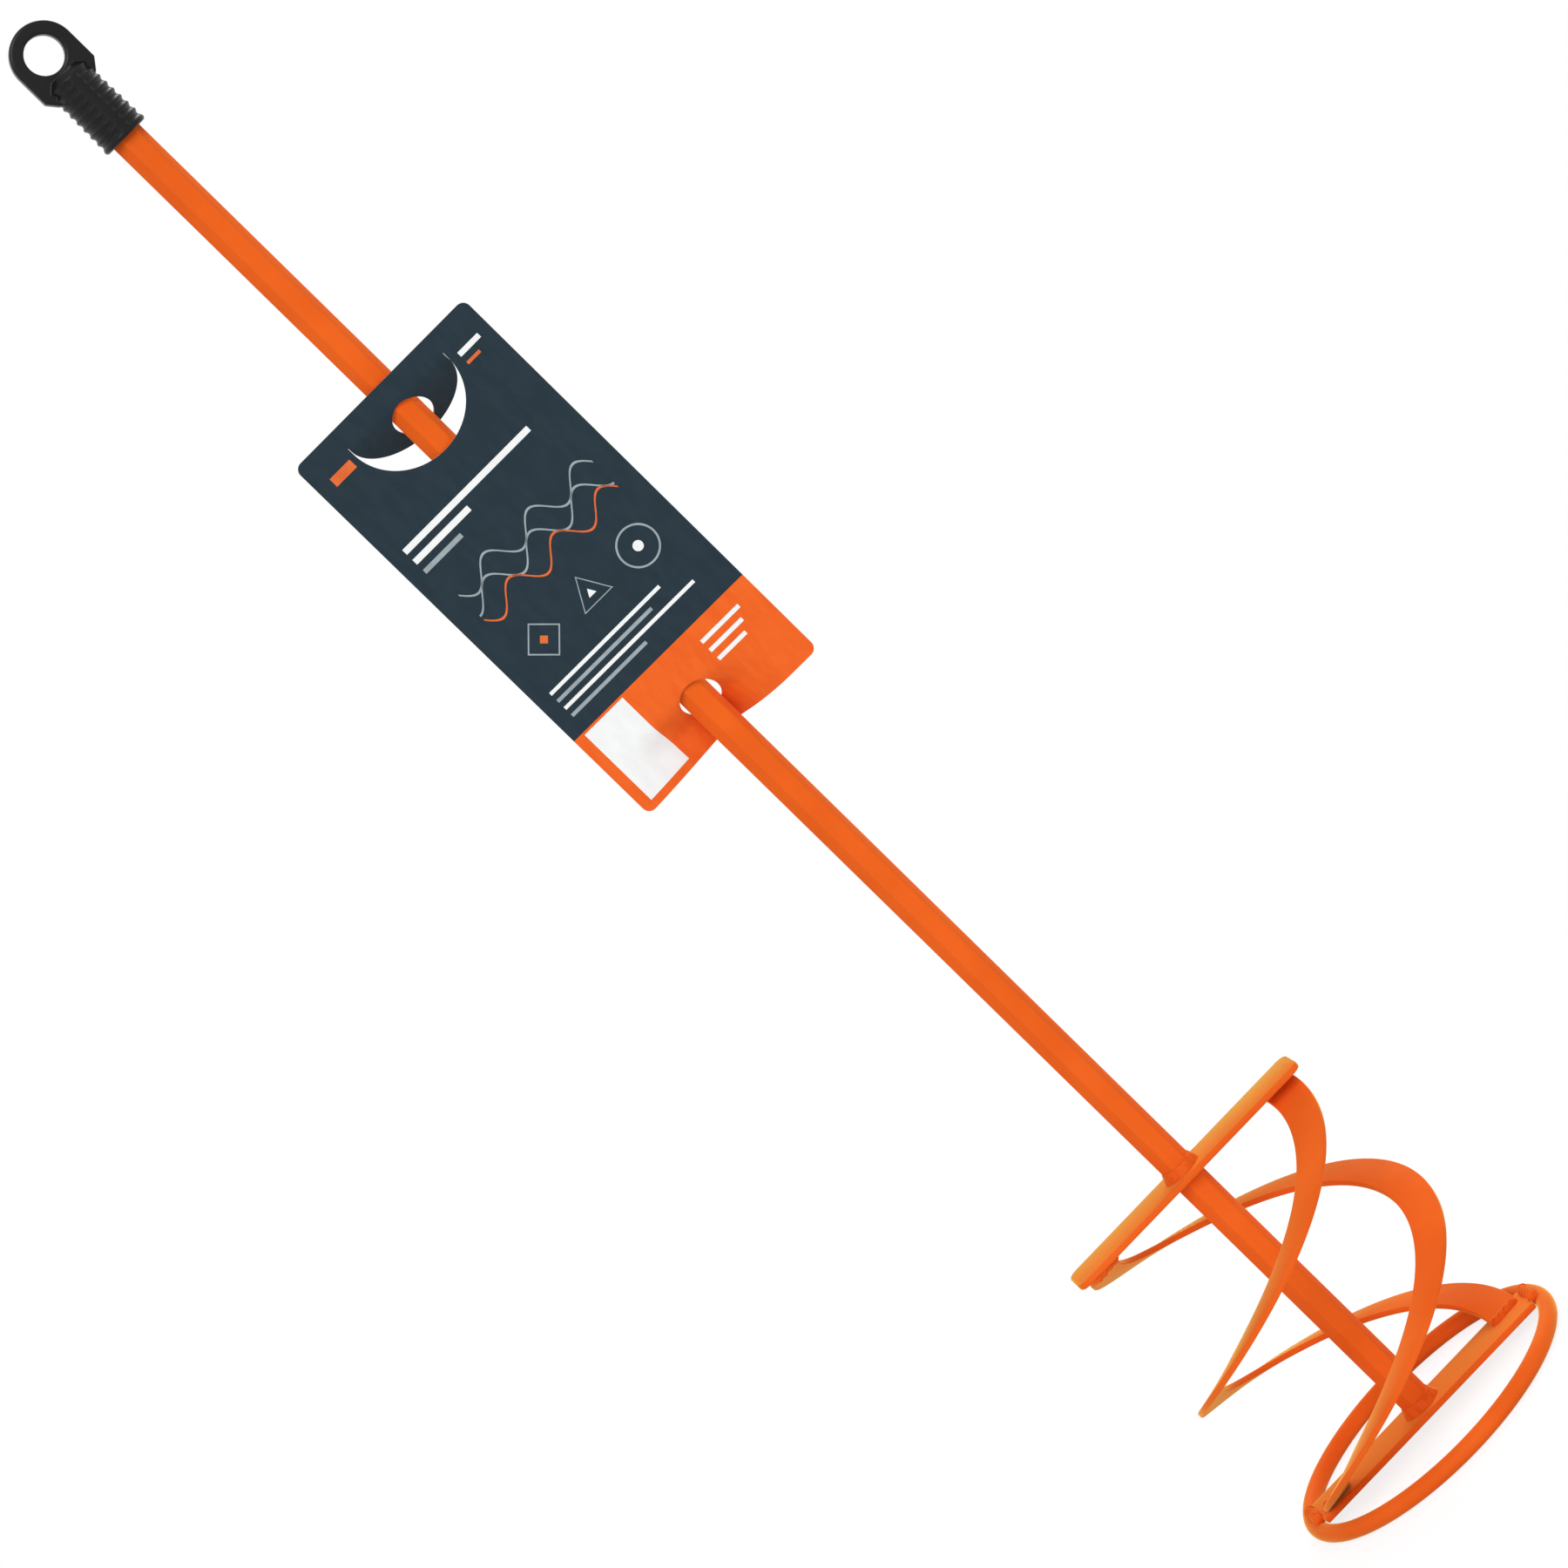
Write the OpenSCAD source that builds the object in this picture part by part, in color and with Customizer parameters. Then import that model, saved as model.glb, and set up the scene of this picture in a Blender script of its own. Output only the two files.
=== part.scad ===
// Helical mixing paddle with a hexagonal shank, standing on its bottom ring.
// Millimetres, +Z along the shaft towards the shank, X along the crossbars.

/* [Shaft] */
// Length of the steelwork, from the underside of the ring to the tip of the shank
tool_length = 550; // [480:1:620]
// Hexagon size across its flats
shaft_flats = 9; // [7.5:0.1:10]
// Diameter over the rounded corners of the hexagon
shaft_corners = 10.1; // [9.6:0.05:10.2]
// Turn of the hexagon about its axis, in degrees
shaft_turn = 7.5; // [0:0.5:30]
// Chamfer at the tip of the shank
tip_chamfer = 1.2; // [0.5:0.1:2]

/* [Bottom ring] */
// Outside diameter of the ring
ring_outer = 100; // [90:1:120]
// Diameter of the rod that the ring is bent from
ring_rod = 5.5; // [4.5:0.1:7]

/* [Crossbars] */
// Width of the flat bar
bar_width = 18; // [15:0.5:22]
// Thickness of the flat bar
bar_thickness = 2; // [1.8:0.1:4]
// Clear height between the two crossbars
bar_spacing = 99.4; // [80:0.1:120]
// Height of the lower crossbar's top face above the top of the ring
bar_above_ring = 0.5; // [0.4:0.1:1.2]
// Length of the upper crossbar past the ends of the blades
bar_overhang = 3.2; // [2:0.1:6]
// Corner radius of the upper crossbar
bar_corner = 3.5; // [2:0.1:6]
// Room around the shaft in the upper crossbar, and between the lower one and the ring
steel_fit = 0.1; // [0.05:0.01:0.15]

/* [Blades] */
// Width of the strip, measured out from the shaft
blade_width = 11; // [8:0.5:14]
// Thickness of the strip, measured upright
blade_thickness = 2; // [1.8:0.1:4]
// Angle that the strip slopes down towards its outer edge, in degrees
blade_droop = 5; // [0:0.5:6]
// Distance from the inside of the ring to the outer edge of a blade's end
blade_inset = 2.2; // [2:0.1:4]
// How much further out the blades stand halfway down
blade_bulge = 5.6; // [0:0.1:7]
// Angle that each blade winds through, in degrees
blade_wind = 366; // [330:1:380]
// Angle from the middle of the crossbar to where a blade begins, in degrees
blade_start = 10; // [6:0.5:11]
// Angle from the middle of the lower crossbar to where a blade ends, in degrees
blade_foot = 4; // [0:0.5:8]
// Height that the hand-bent front blade hangs below a true helix, halfway down
front_sag = 1.2; // [0:0.1:3]
// Height that the hand-bent rear blade stands above a true helix, halfway down
rear_rise = 1.2; // [0:0.1:3]

/* [Welds] */
// Height of the fillet around the shaft
hub_weld_height = 3; // [2:0.1:5]
// Width of the fillet around the shaft, at its foot
hub_weld_leg = 1.6; // [1:0.1:2.4]
// Width of the fillet around the shaft, at its top
hub_weld_lip = 0.2; // [0.1:0.05:0.4]
// Radius of the beads at the ends of the blades
bead_radius = 1.8; // [1.5:0.1:2.2]
// Radius of the beads between the lower crossbar and the ring
ring_bead_radius = 1.7; // [1.5:0.1:2]
// Distance of those beads' middles past the ends of the lower crossbar
ring_bead_out = 0.8; // [0.5:0.1:1.2]
// Thickness of the seam that closes the ring
seam_proud = 0.4; // [0.2:0.05:0.8]
// Length of the seam along the rod
seam_length = 4; // [2:0.5:6]

/* [Hanging cap] */
// Depth of the socket that grips the shank
socket_depth = 18; // [14:0.5:20]
// Room between the shank and its socket, on each flat
socket_fit = 0.1; // [0.05:0.01:0.2]
// Diameter of the sleeve at its mouth
sleeve_mouth = 15.2; // [14.4:0.1:17]
// Diameter of the sleeve at its top
sleeve_top = 14.2; // [13.4:0.1:15]
// Length of the sleeve
sleeve_length = 24.6; // [22.5:0.1:25]
// Height of the sloped edge at the top of the sleeve
sleeve_slope = 2; // [1:0.1:3]
// Number of ribs on the sleeve
rib_count = 8; // [5:1:10]
// Depth of the grooves between the ribs
groove_depth = 0.6; // [0.3:0.05:0.8]
// Width of the smooth strip down the front and back of the sleeve
spine_width = 5; // [3:0.5:7]
// Depth of the smooth strip below the crests of the ribs
spine_depth = 0.15; // [0.1:0.01:0.25]
// Height of the plain lip at the mouth
lip_height = 1.2; // [1:0.1:2]
// Radius of the hanging eye
eye_radius = 9.8; // [8.5:0.1:12]
// Diameter of the hanging hole
hole_diameter = 11.5; // [8:0.5:13]
// Thickness of the eye's plate
eye_thickness = 4.4; // [3:0.1:7]
// Height of the hole's middle above the mouth
eye_height = 31.8; // [31.5:0.1:36]
// Height of the eye's shoulders above the mouth
eye_shoulder = 18.6; // [16:0.1:20]
// Height of the cut corners above the eye's shoulders
eye_cut = 3.3; // [2:0.1:5]

/* [Display card] */
// Width of the card
card_width = 68; // [60:1:80]
// Height of the card
card_height = 141; // [110:1:160]
// Thickness of the card
card_thickness = 0.5; // [0.4:0.05:0.8]
// Corner radius of the card
card_corner = 2.5; // [1:0.1:5]
// Distance from the mouth of the cap down to the card
card_drop = 98.1; // [60:0.1:140]
// Room between the card and the shaft
card_fit = 0.3; // [0.2:0.05:0.6]
// Turn of the card about the shaft, in degrees
card_turn = -9; // [-20:1:20]
// Distance that the card hangs to the right of the shaft
card_shift = 0.5; // [0:0.1:0.6]
// Width of both holes in the card
hole_width = 12.6; // [12.4:0.1:14]
// Distance from the card's top edge down to the fold of its tab
tab_drop = 6.6; // [5:0.1:12]
// Length of the tab below its fold
tab_length = 19.2; // [18:0.1:24]
// Width of the tab
tab_width = 38.4; // [32:0.1:44]
// Angle that the tab is folded back, in degrees
tab_fold = 48; // [42:1:60]
// Length of the tab's straight sides, before its round end
tab_sides = 2.2; // [1:0.1:4]
// Width of the cut around the tab
tab_cut = 0.5; // [0.3:0.1:1]
// Height of the lower hole's middle above the card's bottom edge
low_hole_height = 13; // [11:0.1:18]
// Height of the lower hole, seen square to the card
low_hole_tall = 11.5; // [11:0.1:13]
// Reach of the bend to each side of the shaft
bow_reach = 27; // [20:1:30]

/* [Hidden] */

$fn = 96;
paint_orange = [0.92, 0.37, 0.12];
weld_orange = [0.86, 0.33, 0.11];
cap_black = [0.15, 0.15, 0.16];
card_slate = [0.19, 0.25, 0.29];

// Enough to carry a cut clear through a face
past = 1;
blade_steps = 96;
card_columns = 24;
bow_rows = 16;
ellipse_points = 48;
tab_points = 32;

rod_radius = ring_rod / 2;
ring_radius = ring_outer / 2 - rod_radius;
ring_inside = ring_radius - rod_radius;

lower_bar_top = ring_rod + bar_above_ring;
lower_bar_under = lower_bar_top - bar_thickness;
upper_bar_under = lower_bar_top + bar_spacing;
upper_bar_top = upper_bar_under + bar_thickness;

// Radius of the ring's inner side at the height of the lower crossbar's underside
bar_seat_height = lower_bar_under - rod_radius;
bar_end_radius = ring_radius - sqrt(max(0, rod_radius ^ 2 - bar_seat_height ^ 2)) - steel_fit;

blade_end_radius = ring_inside - blade_inset;
upper_bar_length = 2 * (blade_end_radius + bar_overhang);
// The lower crossbar lies where the blades end
lower_bar_turn = blade_start - blade_wind - blade_foot;

shaft_radius = shaft_corners / 2;
mouth_height = tool_length - socket_depth;
card_top = mouth_height - card_drop;
card_bottom = card_top - card_height;
// The card's back face lies this far in front of the shaft's axis
card_offset = shaft_radius + card_fit;
// The tab's hole is centred where the tab crosses the shaft's axis, and clears the shaft on the slant
tab_hole_down = (card_offset + card_thickness - card_thickness / 2 * cos(tab_fold)) / sin(tab_fold);
card_hole = 2 * card_offset / sin(tab_fold);
// How far the middle of the card's bottom edge is pushed back, to pass behind the shaft
bow_depth = 2 * card_offset + card_thickness;
// The bend is full over the hole and dies away towards its reach
bow_flat = hole_width / 2;
// The bend runs from the bottom of the lower hole to its top
bow_height = low_hole_height + low_hole_tall / 2;

// Shapes that are shared

// A hexagonal prism about +Z, turned as the shaft is
module hexagon(flats, height) {
    rotate([0, 0, shaft_turn])
        cylinder(d = flats / cos(30), h = height, $fn = 6);
}

// The bar stock of the shaft, between two heights
module shaft_stock(from, to) {
    translate([0, 0, from])
        intersection() {
            hexagon(shaft_flats, to - from);
            cylinder(r = shaft_radius, h = to - from);
        }
}

// A flat outline with round corners, centred
module rounded_rectangle(width, height, corner) {
    square([width - 2 * corner, height], center = true);
    square([width, height - 2 * corner], center = true);
    for (x = [-1, 1], y = [-1, 1])
        translate([x * (width / 2 - corner), y * (height / 2 - corner)])
            circle(r = corner);
}

// A straight bead with round ends, along +X
module bead(from, to, radius) {
    translate([from, 0, 0])
        rotate([0, 90, 0])
            cylinder(r = radius, h = to - from);
    translate([from, 0, 0])
        sphere(r = radius);
    translate([to, 0, 0])
        sphere(r = radius);
}

// Steel pieces

module shaft() {
    straight = tool_length - tip_chamfer;
    color(paint_orange)
        intersection() {
            shaft_stock(lower_bar_top, tool_length);
            union() {
                cylinder(r = shaft_radius + past, h = straight);
                translate([0, 0, straight])
                    cylinder(r1 = shaft_radius, r2 = shaft_radius - tip_chamfer, h = tip_chamfer);
            }
        }
}

module upper_crossbar() {
    color(paint_orange)
        translate([0, 0, upper_bar_under])
            difference() {
                linear_extrude(height = bar_thickness)
                    rounded_rectangle(upper_bar_length, bar_width, bar_corner);
                translate([0, 0, -past])
                    hexagon(shaft_flats + 2 * steel_fit, bar_thickness + 2 * past);
            }
}

module lower_crossbar_solid() {
    rotate([0, 0, lower_bar_turn])
        translate([0, 0, lower_bar_under])
            intersection() {
                translate([-bar_end_radius, -bar_width / 2, 0])
                    cube([2 * bar_end_radius, bar_width, bar_thickness]);
                cylinder(r = bar_end_radius, h = bar_thickness);
            }
}

module lower_crossbar() {
    color(paint_orange)
        lower_crossbar_solid();
}

module bottom_ring_solid() {
    translate([0, 0, rod_radius])
        rotate_extrude()
            translate([ring_radius, 0])
                circle(r = rod_radius);
}

module bottom_ring() {
    color(paint_orange)
        bottom_ring_solid();
}

// A blade's angle, outer radius and height, as s goes from 0 at the top to 1 at the foot
function blade_angle(s, first) = first + blade_start - blade_wind * s;
function blade_radius(s) = blade_end_radius + blade_bulge * sin(180 * s);
function blade_height(s, lift) = upper_bar_under - bar_spacing * s + lift * sin(180 * s);

// The four corners of a blade's section, which is flat against the crossbars at its ends
function blade_section(s, first, lift) =
    let (
        angle = blade_angle(s, first),
        outer = blade_radius(s),
        inner = outer - blade_width,
        inner_height = blade_height(s, lift) + blade_width / 2 * tan(blade_droop),
        outer_height = blade_height(s, lift) - blade_width / 2 * tan(blade_droop)
    )
    [for (corner = [
            [inner, max(inner_height - blade_thickness / 2, lower_bar_top)],
            [outer, max(outer_height - blade_thickness / 2, lower_bar_top)],
            [outer, min(outer_height + blade_thickness / 2, upper_bar_under)],
            [inner, min(inner_height + blade_thickness / 2, upper_bar_under)]
        ])
        [corner[0] * cos(angle), corner[0] * sin(angle), corner[1]]];

// A strip that winds once around the shaft, from the upper crossbar to the lower one
module blade(first, lift) {
    points = [for (i = [0:blade_steps]) each blade_section(i / blade_steps, first, lift)];
    last = 4 * blade_steps;
    sides = [for (i = [0:blade_steps - 1], k = [0:3])
        let (a = 4 * i + k, b = 4 * i + (k + 1) % 4)
        each [[b + 4, b, a], [a + 4, b + 4, a]]];
    ends = [[0, 1, 2], [0, 2, 3], [last + 2, last + 1, last], [last + 3, last + 2, last]];
    polyhedron(points = points, faces = concat(sides, ends));
}

module front_blade() {
    color(paint_orange)
        blade(0, -front_sag);
}

module rear_blade() {
    color(paint_orange)
        blade(180, rear_rise);
}

// Welds

// A fillet around the shaft, standing on a crossbar at the given height
module hub_weld(height) {
    color(weld_orange)
        translate([0, 0, height])
            difference() {
                cylinder(
                    r1 = shaft_radius + hub_weld_leg,
                    r2 = shaft_radius + hub_weld_lip,
                    h = hub_weld_height
                );
                translate([0, 0, -height])
                    shaft_stock(height - past, height + hub_weld_height + past);
            }
}

module upper_hub_weld() {
    hub_weld(upper_bar_top);
}

module lower_hub_weld() {
    hub_weld(lower_bar_top);
}

// A quarter-round bead in the corner between a blade's cut end and a crossbar
// side is +1 above the lower crossbar and -1 below the upper one
module blade_weld(angle, height, side) {
    inner = blade_end_radius - blade_width + bead_radius;
    outer = blade_end_radius - bead_radius;
    reach = 2 * blade_end_radius;
    color(weld_orange)
        rotate([0, 0, angle])
            translate([0, 0, height])
                intersection() {
                    bead(inner, outer, bead_radius);
                    translate([0, side < 0 ? 0 : -reach, side < 0 ? -reach : 0])
                        cube(reach);
                }
}

module front_blade_top_weld() {
    blade_weld(blade_angle(0, 0), upper_bar_under, -1);
}

module rear_blade_top_weld() {
    blade_weld(blade_angle(0, 180), upper_bar_under, -1);
}

module front_blade_foot_weld() {
    blade_weld(blade_angle(1, 0), lower_bar_top, 1);
}

module rear_blade_foot_weld() {
    blade_weld(blade_angle(1, 180), lower_bar_top, 1);
}

// A bead across one end of the lower crossbar, run into the ring's rod
module ring_weld(angle) {
    half_length = bar_width / 2 - 2 * ring_bead_radius;
    color(weld_orange)
        difference() {
            rotate([0, 0, lower_bar_turn + angle])
                translate([bar_end_radius + ring_bead_out, 0, lower_bar_top])
                    rotate([0, 0, 90])
                        bead(-half_length, half_length, ring_bead_radius);
            lower_crossbar_solid();
        }
}

module right_ring_weld() {
    ring_weld(0);
}

module left_ring_weld() {
    ring_weld(180);
}

// The butt joint of the ring's rod, at the back, proud above and inside, dressed flush outside
module ring_seam_weld() {
    sweep = seam_length / ring_radius * 180 / PI;
    color(weld_orange)
        difference() {
            translate([0, 0, rod_radius])
                rotate([0, 0, 90 - sweep / 2])
                    rotate_extrude(angle = sweep)
                        translate([ring_radius, 0])
                            intersection() {
                                circle(r = rod_radius + seam_proud);
                                translate([-ring_rod, -rod_radius / 2])
                                    square([ring_rod + rod_radius - seam_proud, ring_rod]);
                            }
            bottom_ring_solid();
        }
}

// Hanging cap

// Radius over the ribs at a height above the mouth
function sleeve_radius(height) =
    (sleeve_mouth + (sleeve_top - sleeve_mouth) * height / sleeve_length) / 2;

// A ribbed sleeve, with a smooth strip down its front and back
module sleeve() {
    ribbed_top = sleeve_length - sleeve_slope;
    pitch = (ribbed_top - lip_height) / rib_count;
    grooves = [for (i = [0:rib_count - 1])
        let (start = lip_height + i * pitch)
        each [
            [sleeve_radius(start), start],
            [sleeve_radius(start) - groove_depth, start + pitch / 4],
            [sleeve_radius(start) - groove_depth, start + pitch / 2],
            [sleeve_radius(start), start + pitch * 3 / 4]
        ]];
    rotate_extrude()
        polygon(concat(
            [[0, 0], [sleeve_radius(0), 0]],
            grooves,
            [
                [sleeve_radius(ribbed_top), ribbed_top],
                [sleeve_radius(ribbed_top) - sleeve_slope, sleeve_length],
                [0, sleeve_length]
            ]
        ));
    intersection() {
        translate([-spine_width / 2, -sleeve_mouth, 0])
            cube([spine_width, 2 * sleeve_mouth, ribbed_top]);
        cylinder(
            r1 = sleeve_radius(0) - spine_depth,
            r2 = sleeve_radius(ribbed_top) - spine_depth,
            h = ribbed_top
        );
    }
}

// The flat eye, with its lower corners cut back to the sleeve
module eye_plate() {
    shoulder = sleeve_radius(sleeve_length);
    rotate([90, 0, 0])
        linear_extrude(height = eye_thickness, center = true)
            union() {
                translate([0, eye_height])
                    circle(r = eye_radius);
                polygon([
                    [-eye_radius, eye_height],
                    [eye_radius, eye_height],
                    [eye_radius, eye_shoulder + eye_cut],
                    [shoulder, eye_shoulder],
                    [-shoulder, eye_shoulder],
                    [-eye_radius, eye_shoulder + eye_cut]
                ]);
            }
}

module hanging_cap() {
    color(cap_black)
        translate([0, 0, mouth_height])
            difference() {
                rotate([0, 0, shaft_turn])
                    difference() {
                        union() {
                            sleeve();
                            eye_plate();
                        }
                        translate([0, 0, eye_height])
                            rotate([90, 0, 0])
                                cylinder(d = hole_diameter, h = 2 * sleeve_mouth, center = true);
                    }
                translate([0, 0, -past])
                    hexagon(shaft_flats + 2 * socket_fit, socket_depth + socket_fit + past);
            }
}

// Display card, drawn upright from its bottom edge, with its front towards -Y

function fade(t) = 0.5 + 0.5 * cos(180 * max(0, min(1, t)));

// How far the card is pushed back at a place on it
function card_bow(x, z) =
    bow_depth
    * fade((abs(x) - bow_flat) / (bow_reach - bow_flat))
    * fade(1 + (z - bow_height) / low_hole_tall);

// The card's sheet before its cuts, bent back around the shaft at its foot
module card_sheet() {
    across = [for (i = [0:card_columns]) card_width * (i / card_columns - 0.5)];
    up = concat([for (k = [0:bow_rows]) bow_height * k / bow_rows], [card_height]);
    columns = len(across);
    rows = len(up);
    back = [for (z = up, x = across) [x, card_bow(x, z) - card_offset, z]];
    front = [for (place = back) place - [0, card_thickness, 0]];
    count = len(back);
    cells = [for (r = [0:rows - 2], c = [0:columns - 2]) r * columns + c];
    // The sheet's edge, anticlockwise seen from the front
    rim = concat(
        [for (c = [0:columns - 2]) c],
        [for (r = [0:rows - 2]) r * columns + columns - 1],
        [for (c = [columns - 1:-1:1]) (rows - 1) * columns + c],
        [for (r = [rows - 1:-1:1]) r * columns]
    );
    back_faces = [for (a = cells)
        each [[a, a + 1, a + columns + 1], [a, a + columns + 1, a + columns]]];
    front_faces = [for (face = back_faces) [for (k = [2:-1:0]) face[k] + count]];
    edge_faces = [for (i = [0:len(rim) - 1])
        let (a = rim[i], b = rim[(i + 1) % len(rim)])
        each [[b + count, b, a], [a + count, b + count, a]]];
    polyhedron(points = concat(back, front), faces = concat(back_faces, front_faces, edge_faces));
}

// The tab's outline, hanging from its fold, with short straight sides and a round end
module tab_outline(width, length) {
    round_end = [for (i = [0:tab_points])
        let (angle = 180 + 180 * i / tab_points)
        [width / 2 * cos(angle), (length - tab_sides) * sin(angle) - tab_sides]];
    polygon(concat([[width / 2, 0], [-width / 2, 0]], round_end));
}

module ellipse(width, height) {
    polygon([for (i = [0:ellipse_points - 1])
        let (angle = 360 * i / ellipse_points)
        [width / 2 * cos(angle), height / 2 * sin(angle)]]);
}

// An outline on the card's face, carried clear through the card from front to back
module through_card() {
    rotate([90, 0, 0])
        linear_extrude(height = 4 * bow_depth, center = true)
            children();
}

// The tab, folded back behind the shaft, with the hole that the shaft passes through
module tab() {
    rotate([tab_fold, 0, 0])
        translate([0, card_thickness, 0])
            rotate([90, 0, 0])
                linear_extrude(height = card_thickness)
                    difference() {
                        tab_outline(tab_width - 2 * tab_cut, tab_length - tab_cut);
                        translate([0, -tab_hole_down])
                            ellipse(hole_width, card_hole);
                    }
}

module display_card() {
    fold_height = card_height - tab_drop;
    color(card_slate)
        rotate([0, 0, card_turn])
            translate([card_shift, 0, card_bottom])
                union() {
                    difference() {
                        intersection() {
                            card_sheet();
                            through_card()
                                translate([0, card_height / 2])
                                    rounded_rectangle(card_width, card_height, card_corner);
                        }
                        through_card()
                            translate([0, fold_height])
                                tab_outline(tab_width, tab_length);
                        through_card()
                            translate([0, low_hole_height])
                                ellipse(hole_width, low_hole_tall);
                    }
                    translate([0, -card_offset - card_thickness, fold_height])
                        tab();
                }
}

shaft();
upper_crossbar();
lower_crossbar();
front_blade();
rear_blade();
bottom_ring();
upper_hub_weld();
lower_hub_weld();
front_blade_top_weld();
front_blade_foot_weld();
rear_blade_top_weld();
rear_blade_foot_weld();
right_ring_weld();
left_ring_weld();
ring_seam_weld();
hanging_cap();
display_card();
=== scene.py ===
"""A helical mixing paddle with its hanging cap and display card: pieces, finishes, light and camera."""
import math

import bmesh
import bpy
from mathutils import Matrix, Vector


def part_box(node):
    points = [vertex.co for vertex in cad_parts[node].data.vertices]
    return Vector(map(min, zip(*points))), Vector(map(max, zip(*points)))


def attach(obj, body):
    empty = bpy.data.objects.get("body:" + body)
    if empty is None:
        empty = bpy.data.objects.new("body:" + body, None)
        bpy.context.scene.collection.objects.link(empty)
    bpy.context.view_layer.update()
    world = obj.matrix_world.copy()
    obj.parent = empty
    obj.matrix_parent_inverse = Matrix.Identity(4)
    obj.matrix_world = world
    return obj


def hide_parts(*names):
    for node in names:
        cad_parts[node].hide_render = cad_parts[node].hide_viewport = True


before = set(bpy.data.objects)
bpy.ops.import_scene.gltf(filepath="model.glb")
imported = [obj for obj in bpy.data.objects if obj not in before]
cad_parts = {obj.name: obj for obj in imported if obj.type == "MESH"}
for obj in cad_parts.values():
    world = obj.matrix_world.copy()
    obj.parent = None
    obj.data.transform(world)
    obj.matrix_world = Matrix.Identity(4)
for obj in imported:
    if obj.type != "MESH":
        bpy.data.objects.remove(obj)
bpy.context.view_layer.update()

MM = 0.001
X_AXIS = Vector((1, 0, 0))
Y_AXIS = Vector((0, 1, 0))
Z_AXIS = Vector((0, 0, 1))
FULL_TURN = math.tau
QUARTER_TURN = math.tau / 4

# Places taken from the solids
shaft_low, shaft_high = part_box("shaft")
ring_low, ring_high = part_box("bottom_ring")
upper_bar_low, upper_bar_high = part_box("upper_crossbar")
lower_bar_low, lower_bar_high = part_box("lower_crossbar")
cap_low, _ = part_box("hanging_cap")
card_low, card_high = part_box("display_card")

# An edge looks sharp where its faces meet at more than this, in degrees
EDGE_SHARP = 35
BLADE_SHARP = 50
WELD_SHARP = 80
CAP_SHARP = 70
CARD_SHARP = 40

# An edge is rolled over where its faces meet at more than this, in degrees
SQUARE_LEAST = 60
HEX_LEAST = 40

# The setting that makes a rolled edge round
ROUND_PROFILE = 0.5

# Hexagons are drawn with a corner on +Y, and this turn brings one round to +X
HEX_SIDES = 6
HEX_TURN = math.radians(30)

# Shaft
SHAFT_FLATS = 9 * MM
SHAFT_CORNER = 0.5 * MM
SHAFT_CORNER_STEPS = 4
SHAFT_TURN = math.radians(7.5)
SHAFT_RADIUS = 5.05 * MM
TIP_CHAMFER = 1.2 * MM
TIP_STEPS = 2
LONG_EDGE = 90 * MM

# Ring and crossbars
ROD_RADIUS = (ring_high.z - ring_low.z) / 2
RING_RADIUS = ring_high.x - ROD_RADIUS
RING_STEPS = 160
ROD_SIDES = 28
BAR_CORNER = 3.5 * MM
BAR_CORNER_STEPS = 8
BAR_EDGE = 0.6 * MM
BAR_EDGE_STEPS = 3

# Blades
BLADE_WIDTH = 11 * MM
BLADE_THICKNESS = 2 * MM
BLADE_DROOP = math.radians(5)
BLADE_EDGE = 0.5 * MM
BLADE_EDGE_STEPS = 3
BLADE_INSET = 2.2 * MM
BLADE_BULGE = 5.6 * MM
BLADE_WIND = math.radians(366)
BLADE_START = math.radians(10)
FRONT_SAG = -1.2 * MM
REAR_RISE = 1.2 * MM
BLADE_STEPS = 144
BLADE_END_RADIUS = RING_RADIUS - ROD_RADIUS - BLADE_INSET

# Welds
HUB_WELD_HEIGHT = 3 * MM
HUB_WELD_LEG = 1.6 * MM
HUB_WELD_LIP = 0.2 * MM
HUB_WELD_CUTS = 3
HUB_WELD_STEPS = 120
HUB_WELD_RIPPLES = 9
HUB_WELD_RIPPLE = 0.06 * MM
HUB_WELD_OVAL = 0.3
HUB_WELD_SKIN = 0.1 * MM
BEAD_RADIUS = 1.8 * MM
BEAD_TIP = 0.03
BEAD_SIDES = 20
BEAD_STEPS = 56
BEAD_WANDER = 0.3 * MM
RING_BEAD_RADIUS = 1.7 * MM
RING_BEAD_OUT = 0.8 * MM
SEAM_LENGTH = 4 * MM
SEAM_PROUD = 0.35 * MM
RIPPLE_PITCH = 2.4 * MM
RIPPLE_SHARE = 0.24

# Hanging cap, measured up from its mouth
SOCKET_FLATS = 9.5 * MM
SOCKET_DEPTH = 18.2 * MM
SLEEVE_MOUTH = 7.6 * MM
SLEEVE_TOP = 7.1 * MM
SLEEVE_LENGTH = 24.6 * MM
SLEEVE_SLOPE = 2 * MM
SLEEVE_ROWS = 10
SLEEVE_SIDES = 144
LIP_HEIGHT = 1.2 * MM
LIP_ROUND = 0.5 * MM
RIB_COUNT = 8
GROOVE_DEPTH = 0.7 * MM
GROOVE_SHAPE = 0.8
SPINE_HALF = 1.2 * MM
SPINE_FADE = 1.4 * MM
EYE_RADIUS = 9.8 * MM
EYE_HOLE = 5.75 * MM
EYE_HEIGHT = 31.8 * MM
EYE_THICKNESS = 4.4 * MM
EYE_EDGE = 0.8 * MM
EYE_EDGE_STEPS = 4
EYE_SHOULDER = 18.6 * MM
EYE_CUT = 3.3 * MM
EYE_STEPS = 48
EYE_HOLE_STEPS = 64
CAP_VOXEL = 0.25 * MM
CAP_SMOOTHING = 4
CAP_SMOOTHING_SHARE = 0.5

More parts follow.
